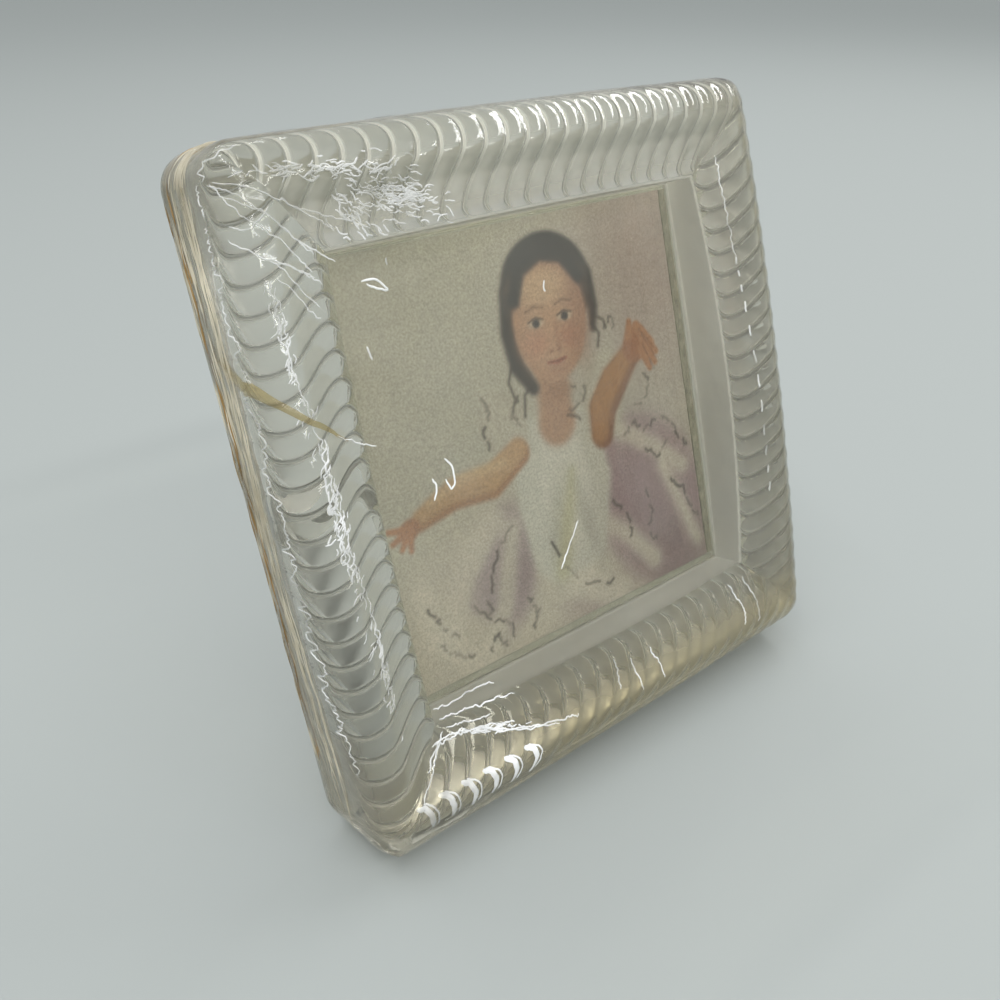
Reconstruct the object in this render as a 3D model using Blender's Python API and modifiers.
"""Pressed glass picture frame, leaning back on an easel strut and wrapped in clear film.

Units are metres, +Z is up and the front faces -Y. Everything is drawn in the frame's own upright
axes, where X runs along the bottom edge, Y is the depth behind the crest of the glass border and
Z is the height above the bottom wall. The frame_datum empty then leans all of it back, and the
last step stands it on the table with the middle of its box over the origin.
"""
import math

import bmesh
import bpy
import numpy as np
from mathutils import Matrix, Vector

# Whole frame
WIDTH = 0.126
HEIGHT = 0.130
DEPTH = 0.023
LEAN = math.radians(17.3)
CLEARANCE = 0.0003

# Glass border, measured from the side wall inwards and from the corners' crest backwards
SIDE_BORDER = 0.0174
END_BORDER = 0.0194
EDGE_ROUND = 0.0068
EDGE_START = 0.0075
INNER_EDGE_DEPTH = 0.0052
SLOPE_POWER = 1.25
CORNER_RADIUS = 0.0062
SIDE_BOW = 0.0018
END_BOW = 0.0005
DOME = 0.0018
WALL_DRAFT = 0.0006

# Levels of the border's surface, as shares of its way in from the side wall to the window
CREST_SHARE = 0.45
EDGE_SHARES = (0.0, 0.16, 0.31, CREST_SHARE)
SLOPE_SHARES = (0.60, 0.74, 0.87, 0.96)

# Grooves across the border, with a wide flat lobe between each two
LOBE_PITCH = 0.00483
GROOVE_DEPTH = 0.0006
GROOVE_HALF = 0.0008
GROOVE_AT_WALL = 0.35
GROOVE_FADE = 0.12
MITRE_FADE = 0.0012

# The S of a groove, seen from the front: swing, and the shares of its turn and of a full wave
GROOVE_SWING = 0.0030
GROOVE_TURN = 0.20
GROOVE_WAVE = 1.35
OUTER_HOOK = 0.0024
INNER_HOOK = 0.0018
HOOK_REACH = 0.12

# Window and rear pocket
PANE_DEPTH = 0.0122
PANE = 0.0032
WINDOW_DRAFT = 0.0003
PRINT_SIDE = 0.0889
GLUE_WIDTH = 0.0028
GLUE_THICKNESS = 0.0005
GLUE_EDGE = 0.00012
POCKET_CORNER = 0.0010

# Sheets and boards behind the pane
PRINT_THICKNESS = 0.0003
CARD_THICKNESS = 0.0006
BOARD_THICKNESS = 0.0018
COVER_THICKNESS = 0.0003
PRINT_CORNER = 0.00075

# Clear film and its tape
FILM = 0.0004
FILM_HEM = 0.0008
HEM_TURN = 0.0070
FILM_SAG = 0.0012
FILM_LEAVES_AT = 0.62
FILM_SLACK = 0.0006
FILM_STEPS = 9
FILM_CORNER_STEPS = 3
# Film over the window: borders past where it leaves the glass, shares of its sag and of the dome
FILM_WINDOW = ((0.55, 0.5, 0.6), (1.4, 1.0, 0.0))
TABLE_FLAT = 0.0004
TAPE_THICKNESS = 0.0003
TAPE_ON_HEM = 0.0040
TAPE_ON_GLASS = 0.0050

# Turn tabs
TAB_THICKNESS = 0.0006
TAB_WIDTH = 0.0070
TAB_REACH = 0.0100
TAB_TAIL = 0.0055
TAB_END_ROUND = 0.0029
TAB_INSET = 0.0075
TAB_RIVET_RADIUS = 0.0013
RIVET_HEAD_RADIUS = 0.0022
RIVET_HEAD = 0.0005
RIVET_SEAT = 0.0012

# Hinge
LEAF = 0.0006
LEAF_WIDTH = 0.0200
LEAF_LENGTH = 0.0130
KNUCKLE_RADIUS = 0.0016
PIN_RADIUS = 0.0007
RIVET_RADIUS = 0.0009
RIVET_SPACING = 0.0110
RIVET_FROM_PIN = 0.0085
LEAF_BELOW_POCKET = 0.01025
# The leaf's faces lie this far inside the knuckles, so that no face is tangent to them
LEAF_INSET = 0.00005

# Easel strut
STRUT_ANGLE = math.radians(30.0)
STRUT_THICKNESS = 0.0018
STRUT_TOP_WIDTH = 0.0310
STRUT_FOOT_WIDTH = 0.0280
STRUT_BELOW_PIN = 0.0024
FOOT_THICKNESS = 0.0012
FOOT_DEPTH = 0.0024
FOOT_INSET = 0.0010

# Fineness of the round shapes
CORNER_POINTS = 5
ROD_SIDES = 20
KNUCKLE_SIDES = 24
SLOT_SIDES = 48
EDGE_SEGMENTS = 2
TAB_END_SEGMENTS = 4
SMOOTH_ANGLE = math.radians(50)
MERGE_DISTANCE = 1e-6

# Sizes worked out from those above
POCKET_HALF = PRINT_SIDE / 2 + GLUE_WIDTH
POCKET_CENTRE = HEIGHT / 2
PANE_BACK = PANE_DEPTH + PANE
PRINT_FRONT = PANE_BACK + CLEARANCE
CARD_FRONT = PRINT_FRONT + max(PRINT_THICKNESS, GLUE_THICKNESS) + CLEARANCE
BOARD_FRONT = CARD_FRONT + CARD_THICKNESS + CLEARANCE
COVER_FRONT = BOARD_FRONT + BOARD_THICKNESS + CLEARANCE
METAL_FRONT = COVER_FRONT + COVER_THICKNESS + CLEARANCE
BOARD_HALF = POCKET_HALF - CLEARANCE
TAB_PIVOT_X = POCKET_HALF - TAB_INSET
LEAF_OFFSET = KNUCKLE_RADIUS - LEAF / 2 - LEAF_INSET
HINGE_DEPTH = METAL_FRONT + KNUCKLE_RADIUS
HINGE_HEIGHT = POCKET_CENTRE + POCKET_HALF - LEAF_BELOW_POCKET - LEAF_LENGTH
STRUT_BACK = LEAF_OFFSET - LEAF / 2 - CLEARANCE
STRUT_FRONT = STRUT_BACK - STRUT_THICKNESS
# The strut's two top corners stand above the pin, and stop it on the board's cover once open
HEEL = (KNUCKLE_RADIUS + STRUT_FRONT * math.cos(STRUT_ANGLE)) / math.sin(STRUT_ANGLE)
FOOT_TILT = STRUT_ANGLE - LEAN
FILM_BACK = DEPTH + CLEARANCE + FILM_HEM
FILM_BOTTOM = -WALL_DRAFT - CLEARANCE - FILM_HEM


def clear_scene():
    """Remove every object, such as the startup cube."""
    for thing in list(bpy.data.objects):
        bpy.data.objects.remove(thing, do_unlink=True)


def new_collection(name):
    """Return a new collection linked to the scene."""
    group = bpy.data.collections.new(name)
    bpy.context.scene.collection.children.link(group)
    return group


def material(name, colour, roughness, metallic=0.0, transmission=0.0, ior=1.45):
    """Return a Principled material in the piece's own colour."""
    surface = bpy.data.materials.new(name)
    surface.use_nodes = True
    shader = surface.node_tree.nodes["Principled BSDF"]
    shader.inputs["Base Color"].default_value = (*colour, 1.0)
    shader.inputs["Roughness"].default_value = roughness
    shader.inputs["Metallic"].default_value = metallic
    shader.inputs["Transmission Weight"].default_value = transmission
    shader.inputs["IOR"].default_value = ior
    return surface


def place(thing, group, parent, surface=None):
    """Put an object in its collection, under its parent, with its material."""
    for owner in list(thing.users_collection):
        owner.objects.unlink(thing)
    group.objects.link(thing)
    thing.parent = parent
    if surface is not None:
        thing.data.materials.clear()
        thing.data.materials.append(surface)
    return thing


def mesh_piece(name, shape, group, parent, surface, smooth=False):
    """Turn a bmesh into an object whose faces point outwards."""
    bmesh.ops.recalc_face_normals(shape, faces=shape.faces)
    mesh = bpy.data.meshes.new(name)
    shape.to_mesh(mesh)
    shape.free()
    if smooth:
        mesh.shade_smooth()
        mesh.set_sharp_from_angle(angle=SMOOTH_ANGLE)
    return place(bpy.data.objects.new(name, mesh), group, parent, surface)


def box(name, size, centre, group, parent, surface, bevel=0.0):
    """Return a cuboid with its size and centre in its parent's axes."""
    shape = bmesh.new()
    bmesh.ops.create_cube(shape, size=1.0)
    bmesh.ops.scale(shape, vec=Vector(size), verts=shape.verts)
    bmesh.ops.translate(shape, vec=Vector(centre), verts=shape.verts)
    thing = mesh_piece(name, shape, group, parent, surface)
    if bevel:
        rounding = thing.modifiers.new("rounded edges", "BEVEL")
        rounding.width = bevel
        rounding.segments = EDGE_SEGMENTS
    return thing


def rod(name, radius, length, axis, centre, group, parent, surface,
        sides=ROD_SIDES):
    """Return a cylinder along X or Y."""
    turn = {"X": Matrix.Rotation(math.pi / 2, 4, "Y"), "Y": Matrix.Rotation(math.pi / 2, 4, "X")}
    shape = bmesh.new()
    bmesh.ops.create_cone(
        shape, cap_ends=True, segments=sides, radius1=radius, radius2=radius, depth=length,
        matrix=Matrix.Translation(Vector(centre)) @ turn[axis])
    return mesh_piece(name, shape, group, parent, surface, smooth=True)


def boolean(thing, cutter, operation="DIFFERENCE"):
    """Cut a piece with a cutter, or join one to it."""
    cut = thing.modifiers.new(cutter.name, "BOOLEAN")
    cut.operation = operation
    cut.object = cutter
    cutter.hide_render = True
    cutter.display_type = "WIRE"


def sheet(name, half_x, half_z, front, thickness, corner, group, parent, surface):
    """Return a flat sheet with round corners, centred on the pocket, as an extruded outline."""
    arc = []
    for quarter, (sx, sz) in enumerate([(1, 1), (-1, 1), (-1, -1), (1, -1)]):
        for step in range(CORNER_POINTS):
            angle = math.pi / 2 * (quarter + step / (CORNER_POINTS - 1))
            arc.append((sx * (half_x - corner) + corner * math.cos(angle),
                        sz * (half_z - corner) + corner * math.sin(angle)))
    shape = bmesh.new()
    ring = [shape.verts.new((x, front, POCKET_CENTRE + z)) for x, z in arc]
    face = shape.faces.new(ring)
    grown = bmesh.ops.extrude_face_region(shape, geom=[face])
    moved = [item for item in grown["geom"] if isinstance(item, bmesh.types.BMVert)]
    bmesh.ops.translate(shape, vec=(0, thickness, 0), verts=moved)
    return mesh_piece(name, shape, group, parent, surface)


def prism_along(name, profile, length, axis, group, parent, surface):
    """Return a profile of (across, depth) points extruded along X or Z, centred on zero."""
    shape = bmesh.new()
    ring = []
    for across, depth in profile:
        start = (-length / 2, depth, across) if axis == "X" else (across, depth, -length / 2)
        ring.append(shape.verts.new(start))
    face = shape.faces.new(ring)
    grown = bmesh.ops.extrude_face_region(shape, geom=[face])
    moved = [item for item in grown["geom"] if isinstance(item, bmesh.types.BMVert)]
    run = (length, 0, 0) if axis == "X" else (0, 0, length)
    bmesh.ops.translate(shape, vec=run, verts=moved)
    return mesh_piece(name, shape, group, parent, surface)


def border_profile(share):
    """Return the smooth border surface at a share of its way in, and the normal there.

    Up to the crest the surface is a quarter ellipse that climbs from the side wall. From there
    its depth grows with a power of the run to the window. The result is (inset as a share of
    the border, depth, outward part of the normal, forward part).
    """
    crest = EDGE_ROUND / SIDE_BORDER
    if share <= CREST_SHARE:
        angle = math.pi / 2 * share / CREST_SHARE
        inset = crest * (1 - math.cos(angle))
        depth = EDGE_START * (1 - math.sin(angle))
        out, forward = math.cos(angle) / EDGE_ROUND, math.sin(angle) / EDGE_START
    else:
        run = (share - CREST_SHARE) / (1 - CREST_SHARE)
        inset = crest + (1 - crest) * run
        depth = INNER_EDGE_DEPTH * run ** SLOPE_POWER
        mean_slope = INNER_EDGE_DEPTH / (SIDE_BORDER - EDGE_ROUND)
        out, forward = -mean_slope * SLOPE_POWER * run ** (SLOPE_POWER - 1), 1.0
    size = math.hypot(out, forward)
    return inset, depth, out / size, forward / size


def dome_at(share):
    """Return the share of the dome at a share of the way in: none at the wall, all at the crest."""
    return min(1.0, share / CREST_SHARE)


def groove_shift(share):
    """Return how far a groove has moved along its side at a share of its way in.

    A cosine carries it away from its corner near the wall and back towards it near the window.
    At both ends a hook turns it round, by the square of the way past the hook's start.
    """
    wave = GROOVE_SWING * math.cos(2 * math.pi * (share - GROOVE_TURN) / GROOVE_WAVE)
    outer = max(0.0, 1 - share / HOOK_REACH) ** 2
    inner = max(0.0, 1 - (1 - share) / HOOK_REACH) ** 2
    return wave - OUTER_HOOK * outer + INNER_HOOK * inner


def groove_strength(share):
    """Return a groove's depth as a share of the full one: it fades at the wall and the window."""
    outer = GROOVE_AT_WALL + (1 - GROOVE_AT_WALL) * min(1.0, share / GROOVE_FADE)
    return outer * min(1.0, (1 - share) / GROOVE_FADE)


def groove_dip(counted, pitch, from_mitre):
    """Return how far the surface sinks at a distance counted along a side.

    Each groove is a V whose middle lies at a whole number of pitches. Close to the mitre the
    dip runs into half a groove's depth, so that both sides meet at the same height.
    """
    from_groove = abs(counted - pitch * round(counted / pitch))
    dip = GROOVE_DEPTH * max(0.0, 1 - from_groove / GROOVE_HALF)
    near = min(1.0, from_mitre / MITRE_FADE)
    return dip * near + GROOVE_DEPTH / 2 * (1 - near)


def side_pitch(length):
    """Return the pitch that divides a side into a whole number of lobes."""
    return length / round(length / LOBE_PITCH)


def groove_stations(length):
    """Return each groove's middle and edges along a side, with one spare groove past each end."""
    pitch = side_pitch(length)
    middles = [pitch * index for index in range(-1, round(length / pitch) + 2)]
    return [middle + edge for middle in middles for edge in (-GROOVE_HALF, 0.0, GROOVE_HALF)]


def corner_stations(length):
    """Return places along a side that are close together at the corners only."""
    near = [step * CORNER_RADIUS / FILM_CORNER_STEPS for step in range(FILM_CORNER_STEPS + 1)]
    start = near[-1] + EDGE_ROUND
    middle = [start + (length - 2 * start) * step / FILM_STEPS for step in range(FILM_STEPS + 1)]
    return near + middle + [length - spot for spot in reversed(near)]


def perimeter(shape, inset, depth, radius, stations, bow=0.0, dome=0.0, slack=0.0, shift=0.0,
              lift=None):
    """Add one closed loop of vertices round the frame, and return it.

    Each side has a fixed list of stations, moved along it by shift. The top and left sides are
    counted from the top left corner, the other two from the bottom right one. A station that
    falls past the mitre stays on the mitre, where its copies are merged later. The corners are
    rounded. The sides bow outwards and stand forwards by a parabola, and lift, the outward and
    forward parts of the normal and a strength, sinks a vertex along that normal in the grooves.
    """
    half = (WIDTH / 2 - inset[0], HEIGHT / 2 - inset[1])
    loop = []
    # Each side is (the axis it runs along, the side of the other axis, the end it is counted from)
    for run_axis, side, start in ((0, -1, 1), (1, 1, -1), (0, 1, -1), (1, -1, 1)):
        length, reach, edge = (WIDTH, HEIGHT)[run_axis], half[run_axis], half[1 - run_axis]
        places = stations[run_axis]
        for counted in (reversed(places) if run_axis == 0 else places):
            run = start * (length / 2 - counted - shift)
            run = max(-reach, min(reach, run))
            swell = 1 - (run / reach) ** 2
            from_mitre = reach - abs(run)
            out = edge + ((END_BOW, SIDE_BOW)[run_axis] * bow + slack) * swell
            back = depth - DOME * dome * swell
            dip_out = 0.0
            if lift is not None:
                along = length / 2 - start * run - shift
                dip = groove_dip(along, side_pitch(length), from_mitre) * lift[2]
                dip_out = dip * lift[0]
                back += dip * lift[1]
            if from_mitre < radius:
                angle = math.pi / 4 * (1 - from_mitre / radius)
                moved = reach - radius + (radius - dip_out) * math.sin(angle)
                out = out - radius + (radius - dip_out) * math.cos(angle)
                run = math.copysign(moved, run)
            else:
                out -= dip_out
            spot = [0.0, 0.0]
            spot[run_axis] = run
            spot[1 - run_axis] = side * out
            loop.append(shape.verts.new((spot[0], back, HEIGHT / 2 + spot[1])))
    return loop


def skin(shape, loops):
    """Join neighbouring loops with quads, and cap the first and the last."""
    for one, two in zip(loops, loops[1:]):
        for index in range(len(one)):
            after = (index + 1) % len(one)
            shape.faces.new((one[index], one[after], two[after], two[index]))
    shape.faces.new(list(reversed(loops[0])))
    shape.faces.new(loops[-1])


def merge_mitres(shape):
    """Merge the stations that share a mitre point."""
    bmesh.ops.remove_doubles(shape, verts=shape.verts, dist=MERGE_DISTANCE)
    bmesh.ops.dissolve_degenerate(shape, dist=MERGE_DISTANCE / 10, edges=shape.edges)


def make_glass(group, tools, parent, surface):
    """Pressed glass body: lobed border, window recess with its pane, rear pocket and tab slots."""
    shape = bmesh.new()
    stations = (groove_stations(WIDTH), groove_stations(HEIGHT))
    wall_shift = groove_shift(0.0)

    def level(inset, depth, radius, **more):
        return perimeter(shape, inset, depth, radius, stations, **more)

    loops = [level((-WALL_DRAFT, -WALL_DRAFT), DEPTH, CORNER_RADIUS, shift=wall_shift)]
    loops.append(level((0.0, 0.0), (DEPTH + EDGE_START) / 2, CORNER_RADIUS, bow=0.5,
                       shift=wall_shift))
    for share in EDGE_SHARES + SLOPE_SHARES:
        inset, depth, out, forward = border_profile(share)
        loops.append(level((inset * SIDE_BORDER, inset * END_BORDER), depth,
                           max(CORNER_RADIUS - inset * SIDE_BORDER, 0.0), bow=1.0,
                           dome=dome_at(share), shift=groove_shift(share),
                           lift=(out, forward, groove_strength(share))))
    loops.append(level((SIDE_BORDER, END_BORDER), INNER_EDGE_DEPTH, 0.0, bow=1.0, dome=1.0,
                       shift=groove_shift(1.0)))
    loops.append(level((SIDE_BORDER + WINDOW_DRAFT, END_BORDER + WINDOW_DRAFT), PANE_DEPTH, 0.0,
                       bow=0.5, shift=groove_shift(1.0)))
    skin(shape, loops)
    merge_mitres(shape)
    glass = mesh_piece("glass_frame", shape, group, parent, surface, smooth=True)

    pocket = sheet("pocket_cutter", POCKET_HALF, POCKET_HALF, PANE_BACK, DEPTH, POCKET_CORNER,
                   tools, parent, None)
    boolean(glass, pocket)
    slot_thickness = TAB_THICKNESS + 2 * CLEARANCE
    for side in (-1, 1):
        centre = (side * TAB_PIVOT_X, METAL_FRONT + TAB_THICKNESS / 2, POCKET_CENTRE)
        slot = rod(f"slot_cutter_{side}", TAB_REACH + 2 * CLEARANCE, slot_thickness, "Y", centre,
                   tools, parent, None, sides=SLOT_SIDES)
        boolean(glass, slot)
    return glass


def make_film(group, tools, parent, surface):
    """Clear film: one sheet bridging the window, down the walls, with its hem on the back rim."""
    shape = bmesh.new()
    stations = (corner_stations(WIDTH), corner_stations(HEIGHT))

    def front(offset):
        """Return the loops over the front, from the middle of the window outwards."""
        made = []
        leave = border_profile(FILM_LEAVES_AT)
        for far, sag, dome in reversed(FILM_WINDOW):
            inset = (SIDE_BORDER * (leave[0] + far), END_BORDER * (leave[0] + far))
            made.append(perimeter(shape, inset, leave[1] - offset + FILM_SAG * sag, 0.0, stations,
                                  dome=dome))
        for share in reversed(EDGE_SHARES + (FILM_LEAVES_AT,)):
            inset, depth, out, forward = border_profile(share)
            made.append(perimeter(
                shape, (inset * SIDE_BORDER - offset * out, inset * END_BORDER - offset * out),
                depth - offset * forward, max(CORNER_RADIUS - inset * SIDE_BORDER, 0.0) + offset,
                stations, bow=1.0, dome=dome_at(share), slack=FILM_SLACK))
        return made

    def wall(offset, back):
        """Return the loops down the side wall and round onto the back rim."""
        half_way = -offset - WALL_DRAFT
        made = [perimeter(shape, (half_way, half_way), DEPTH - HEM_TURN / 2,
                          CORNER_RADIUS + offset, stations, slack=FILM_SLACK / 2)]
        hem = back - CLEARANCE
        outside = -WALL_DRAFT - back
        made.append(perimeter(shape, (outside, outside), DEPTH + back, CORNER_RADIUS + hem,
                              stations))
        made.append(perimeter(shape, (HEM_TURN, HEM_TURN), DEPTH + back, 0.0, stations))
        return made

    inner = front(CLEARANCE) + wall(CLEARANCE, CLEARANCE)
    outer = front(CLEARANCE + FILM) + wall(CLEARANCE + FILM, CLEARANCE + FILM_HEM)
    skin(shape, inner + list(reversed(outer)))
    merge_mitres(shape)
    film = mesh_piece("film_wrap", shape, group, parent, surface, smooth=True)

    table = box("table_cutter", (2 * WIDTH, DEPTH, DEPTH), (0, 0, -DEPTH / 2), tools, parent, None)
    upwards = Vector((0, -math.sin(LEAN), math.cos(LEAN)))
    table.location = Vector((0, FILM_BACK, FILM_BOTTOM)) + upwards * TABLE_FLAT
    table.rotation_euler.x = LEAN
    boolean(film, table)
    return film


def make_tape(group, parent, surface):
    """Four strips of tape on the back rim, half on the hem and half on the glass."""
    hem_top = FILM_BACK + CLEARANCE
    rim = DEPTH + CLEARANCE
    start = HEM_TURN - TAPE_ON_HEM
    step = HEM_TURN + CLEARANCE
    finish = step + TAPE_ON_GLASS
    profile = [(start, hem_top), (start, hem_top + TAPE_THICKNESS),
               (step + TAPE_THICKNESS, hem_top + TAPE_THICKNESS),
               (step + TAPE_THICKNESS, rim + TAPE_THICKNESS), (finish, rim + TAPE_THICKNESS),
               (finish, rim), (step, rim), (step, hem_top)]
    full = WIDTH - 2 * step
    between = HEIGHT - 2 * (finish + CLEARANCE)
    for name, side in (("tape_bottom", 1), ("tape_top", -1)):
        base = 0.0 if side == 1 else HEIGHT
        outline = [(base + side * across, depth) for across, depth in profile]
        prism_along(name, outline, full, "X", group, parent, surface)
    for name, side in (("tape_left", 1), ("tape_right", -1)):
        outline = [(side * (across - WIDTH / 2), depth) for across, depth in profile]
        strip = prism_along(name, outline, between, "Z", group, parent, surface)
        strip.location.z = POCKET_CENTRE


def make_contents(group, parent, surfaces):
    """Print, its glue lines, the spacer card, the backing board and its cover."""
    half = PRINT_SIDE / 2
    sheet("photo_print", half, half, PRINT_FRONT, PRINT_THICKNESS, PRINT_CORNER, group,
          parent, surfaces["print"])
    glue_width = GLUE_WIDTH - 2 * CLEARANCE
    middle = half + CLEARANCE + glue_width / 2
    depth = PRINT_FRONT + GLUE_THICKNESS / 2
    long_run = 2 * (middle + glue_width / 2 - POCKET_CORNER)
    short_run = 2 * half
    lines = {
        "glue_top": ((long_run, GLUE_THICKNESS, glue_width), (0, depth, POCKET_CENTRE + middle)),
        "glue_bottom": ((long_run, GLUE_THICKNESS, glue_width), (0, depth, POCKET_CENTRE - middle)),
        "glue_left": ((glue_width, GLUE_THICKNESS, short_run), (-middle, depth, POCKET_CENTRE)),
        "glue_right": ((glue_width, GLUE_THICKNESS, short_run), (middle, depth, POCKET_CENTRE)),
    }
    for name, (size, centre) in lines.items():
        box(name, size, centre, group, parent, surfaces["glue"], bevel=GLUE_EDGE)
    sheet("spacer_card", BOARD_HALF, BOARD_HALF, CARD_FRONT, CARD_THICKNESS, POCKET_CORNER,
          group, parent, surfaces["card"])
    board = sheet("backing_board", BOARD_HALF, BOARD_HALF, BOARD_FRONT, BOARD_THICKNESS,
                  POCKET_CORNER, group, parent, surfaces["board"])
    cover = sheet("board_cover", BOARD_HALF, BOARD_HALF, COVER_FRONT, COVER_THICKNESS,
                  POCKET_CORNER, group, parent, surfaces["flock"])
    return board, cover


def make_rivet(name, radius, seat, leaf_back, centre_x, centre_z, holed, group, tools, parent,
               surface):
    """Round-headed rivet along Y, with its clearance hole in each piece that it passes.

    The shank stops at the seat depth and the head stands on the metal's back face.
    """
    head_front = leaf_back + CLEARANCE
    shank = rod(f"{name}_shank", radius, head_front - seat + RIVET_HEAD / 2, "Y",
                (centre_x, (seat + head_front + RIVET_HEAD / 2) / 2, centre_z), tools, parent, None)
    rivet = rod(name, RIVET_HEAD_RADIUS, RIVET_HEAD, "Y",
                (centre_x, head_front + RIVET_HEAD / 2, centre_z), group, parent, surface)
    boolean(rivet, shank, "UNION")
    hole_length = head_front - seat + CLEARANCE
    hole = rod(f"{name}_hole", radius + CLEARANCE, hole_length + RIVET_HEAD, "Y",
               (centre_x, seat - CLEARANCE + (hole_length + RIVET_HEAD) / 2, centre_z), tools,
               parent, None)
    for thing in holed:
        boolean(thing, hole)
    return rivet


def make_tabs(group, tools, parent, board, cover, surfaces):
    """Two turn tabs on rivets near the board's side edges, their tips in the glass slots."""
    for name, side in (("left", -1), ("right", 1)):
        pivot = bpy.data.objects.new(f"tab_pivot_{name}", None)
        place(pivot, group, parent)
        pivot.location = (side * TAB_PIVOT_X, METAL_FRONT, POCKET_CENTRE)
        length = TAB_REACH + TAB_TAIL
        centre = (side * (TAB_REACH - TAB_TAIL) / 2, TAB_THICKNESS / 2, 0)
        tab = box(f"turn_tab_{name}", (length, TAB_THICKNESS, TAB_WIDTH), centre, group, pivot,
                  surfaces["steel"])
        rounding = tab.modifiers.new("round ends", "BEVEL")
        rounding.width = min(TAB_END_ROUND, TAB_WIDTH / 2 - CLEARANCE)
        rounding.segments = TAB_END_SEGMENTS
        rounding.limit_method = "WEIGHT"
        mark_thickness_edges(tab)
        make_rivet(f"tab_rivet_{name}", TAB_RIVET_RADIUS, BOARD_FRONT + RIVET_SEAT / 2,
                   METAL_FRONT + TAB_THICKNESS, side * TAB_PIVOT_X, POCKET_CENTRE,
                   [tab, board, cover], group, tools, parent, surfaces["brass"])


def mark_thickness_edges(thing):
    """Give a flat piece's four corner edges a bevel weight, so that only its outline rounds."""
    mesh = thing.data
    weights = mesh.attributes.new("bevel_weight_edge", "FLOAT", "EDGE")
    for index, edge in enumerate(mesh.edges):
        start, finish = (mesh.vertices[corner].co for corner in edge.vertices)
        along_depth = abs(start.y - finish.y) > abs(start.x - finish.x) + abs(start.z - finish.z)
        weights.data[index].value = 1.0 if along_depth else 0.0


def make_leaf(name, way, knuckles, relief, depth_offset, group, tools, parent, surface):
    """Hinge leaf with its knuckles round the X axis of its parent.

    way is 1 for a leaf above the pin and -1 for one below it, knuckles and relief are
    (start, end) runs along X of its own knuckles and of the other leaf's, and depth_offset is
    the leaf's middle plane from the pin's axis.
    """
    leaf = box(name, (LEAF_WIDTH, LEAF, LEAF_LENGTH), (0, depth_offset, way * LEAF_LENGTH / 2),
               group, parent, surface)
    for index, (low, high) in enumerate(relief):
        gap = rod(f"{name}_relief_{index}", KNUCKLE_RADIUS + CLEARANCE, high - low + CLEARANCE, "X",
                  ((low + high) / 2, 0, 0), tools, parent, None, sides=KNUCKLE_SIDES)
        boolean(leaf, gap)
    for index, (low, high) in enumerate(knuckles):
        barrel = rod(f"{name}_barrel_{index}", KNUCKLE_RADIUS, high - low, "X",
                     ((low + high) / 2, 0, 0), tools, parent, None, sides=KNUCKLE_SIDES)
        boolean(leaf, barrel, "UNION")
    bore = rod(f"{name}_bore", PIN_RADIUS + CLEARANCE, 2 * LEAF_WIDTH, "X", (0, 0, 0), tools,
               parent, None, sides=KNUCKLE_SIDES)
    boolean(leaf, bore)
    return leaf


def make_hinge_and_strut(group, tools, parent, board, cover, surfaces):
    """Steel hinge on the board, and the strut that hangs from it with its felt foot."""
    pin_seat = bpy.data.objects.new("hinge_seat", None)
    place(pin_seat, group, parent)
    pin_seat.location = (0, HINGE_DEPTH, HINGE_HEIGHT)
    swing = bpy.data.objects.new("strut_swing", None)
    place(swing, group, pin_seat)
    swing.rotation_euler.x = STRUT_ANGLE

    third = LEAF_WIDTH / 3
    half = LEAF_WIDTH / 2
    outer = [(-half, -half + third - CLEARANCE / 2), (half - third + CLEARANCE / 2, half)]
    inner = [(-half + third + CLEARANCE / 2, half - third - CLEARANCE / 2)]
    board_leaf = make_leaf("hinge_leaf_board", 1, outer, inner, -LEAF_OFFSET, group, tools,
                           pin_seat, surfaces["steel"])
    strut_leaf = make_leaf("hinge_leaf_strut", -1, inner, outer, LEAF_OFFSET, group, tools,
                           swing, surfaces["steel"])
    rod("hinge_pin", PIN_RADIUS, LEAF_WIDTH, "X", (0, 0, 0), group, pin_seat, surfaces["steel"])

    for name, side in (("left", -1), ("right", 1)):
        make_rivet(f"board_rivet_{name}", RIVET_RADIUS, BOARD_FRONT + RIVET_SEAT / 2,
                   METAL_FRONT + LEAF, side * RIVET_SPACING / 2, HINGE_HEIGHT + RIVET_FROM_PIN,
                   [board_leaf, board, cover], group, tools, parent, surfaces["brass"])

    strut = make_strut(group, swing, surfaces)
    for name, side in (("left", -1), ("right", 1)):
        make_rivet(f"strut_rivet_{name}", RIVET_RADIUS, STRUT_BACK - RIVET_SEAT,
                   LEAF_OFFSET + LEAF / 2, side * RIVET_SPACING / 2, -RIVET_FROM_PIN,
                   [strut_leaf, strut], group, tools, swing, surfaces["brass"])


def strut_length():
    """Return the run from the pin's axis down the strut to the table.

    The table is the flat under the film's hem at the back of the bottom edge. Heights are
    taken square to the table, from the pin and from that flat.
    """
    pin_height = HINGE_HEIGHT * math.cos(LEAN) - HINGE_DEPTH * math.sin(LEAN)
    flat_height = FILM_BOTTOM * math.cos(LEAN) - FILM_BACK * math.sin(LEAN) + TABLE_FLAT
    return (pin_height - flat_height) / math.cos(FOOT_TILT)


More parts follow.
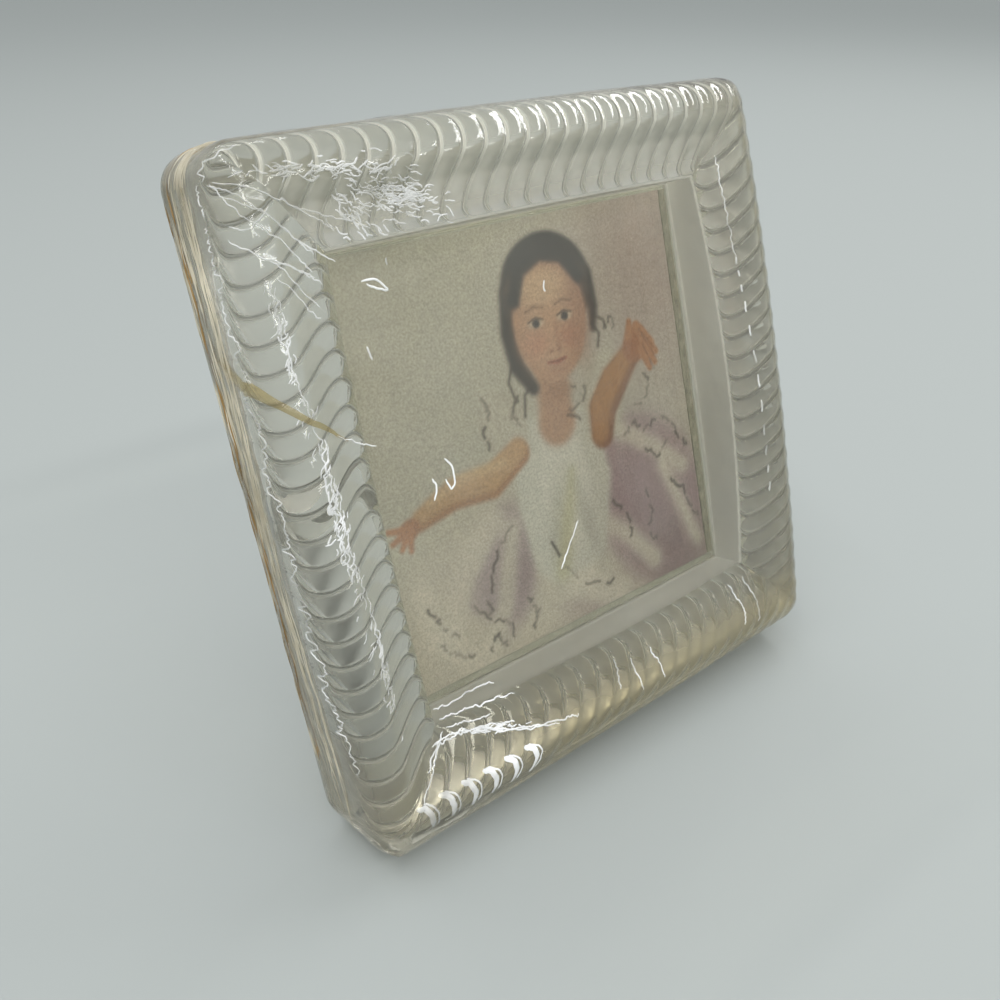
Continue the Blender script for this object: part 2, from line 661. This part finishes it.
def make_strut(group, swing, surfaces):
    """Tapered strut with a notch for the hinge, its end cut level, and the felt foot under it."""
    to_table = strut_length()
    felt_top = FOOT_THICKNESS + CLEARANCE
    notch = LEAF_WIDTH / 2 + CLEARANCE
    shape = bmesh.new()
    rings = []
    for depth in (STRUT_FRONT, STRUT_BACK):
        # The lower end slopes, so that it is level once the strut is open
        end = felt_top / math.cos(FOOT_TILT) - to_table - depth * math.tan(FOOT_TILT)
        half_top, half_foot = STRUT_TOP_WIDTH / 2, STRUT_FOOT_WIDTH / 2
        outline = [(-half_foot, end), (half_foot, end), (half_top, HEEL), (notch, HEEL),
                   (notch, -STRUT_BELOW_PIN), (-notch, -STRUT_BELOW_PIN), (-notch, HEEL),
                   (-half_top, HEEL)]
        rings.append([shape.verts.new((x, depth, z)) for x, z in outline])
    shape.faces.new(rings[0])
    shape.faces.new(list(reversed(rings[1])))
    for index in range(len(rings[0])):
        after = (index + 1) % len(rings[0])
        shape.faces.new((rings[0][index], rings[1][index], rings[1][after], rings[0][after]))
    strut = mesh_piece("easel_strut", shape, group, swing, surfaces["board"])

    middle = (STRUT_FRONT + STRUT_BACK) / 2
    foot = box("strut_foot", (STRUT_FOOT_WIDTH - 2 * FOOT_INSET, FOOT_DEPTH, FOOT_THICKNESS),
               (0, 0, FOOT_THICKNESS / 2), group, swing, surfaces["felt"])
    foot.location = (0, middle, -to_table - middle * math.tan(FOOT_TILT))
    foot.rotation_euler.x = -FOOT_TILT
    return strut


def stand_on_table(datum):
    """Move the datum so that the part's lowest point is at zero and its box is centred."""
    bpy.context.view_layer.update()
    graph = bpy.context.evaluated_depsgraph_get()
    spots = []
    for thing in bpy.data.collections["glass_picture_frame"].objects:
        if thing.type != "MESH":
            continue
        mesh = thing.evaluated_get(graph).data
        flat = np.empty(3 * len(mesh.vertices), dtype=np.float32)
        mesh.vertices.foreach_get("co", flat)
        world = np.array(thing.matrix_world)
        spots.append(flat.reshape(-1, 3) @ world[:3, :3].T + world[:3, 3])
    spots = np.concatenate(spots)
    low, high = spots.min(axis=0), spots.max(axis=0)
    datum.location -= Vector(((low[0] + high[0]) / 2, (low[1] + high[1]) / 2, low[2]))


def main():
    clear_scene()
    group = new_collection("glass_picture_frame")
    tools = new_collection("cutters")
    surfaces = {
        "glass": material("pressed glass", (0.93, 0.95, 0.92), 0.03, transmission=1.0, ior=1.52),
        "film": material("clear film", (0.95, 0.93, 0.84), 0.08, transmission=0.95, ior=1.47),
        "tape": material("aged tape", (0.66, 0.60, 0.45), 0.35, transmission=0.6),
        "glue": material("aged glue", (0.50, 0.47, 0.37), 0.3, transmission=0.5),
        "print": material("photographic print", (0.55, 0.49, 0.42), 0.45),
        "card": material("pale chipboard", (0.50, 0.50, 0.45), 0.9),
        "board": material("greyboard", (0.38, 0.36, 0.31), 0.85),
        "flock": material("grey flocked paper", (0.32, 0.32, 0.30), 1.0),
        "steel": material("nickel-plated steel", (0.55, 0.55, 0.53), 0.3, metallic=1.0),
        "brass": material("brass", (0.72, 0.53, 0.24), 0.3, metallic=1.0),
        "felt": material("grey felt", (0.20, 0.20, 0.19), 1.0),
    }
    datum = bpy.data.objects.new("frame_datum", None)
    place(datum, group, None)
    datum.rotation_euler.x = -LEAN

    make_glass(group, tools, datum, surfaces["glass"])
    make_film(group, tools, datum, surfaces["film"])
    make_tape(group, datum, surfaces["tape"])
    board, cover = make_contents(group, datum, surfaces)
    make_tabs(group, tools, datum, board, cover, surfaces)
    make_hinge_and_strut(group, tools, datum, board, cover, surfaces)
    stand_on_table(datum)


main()
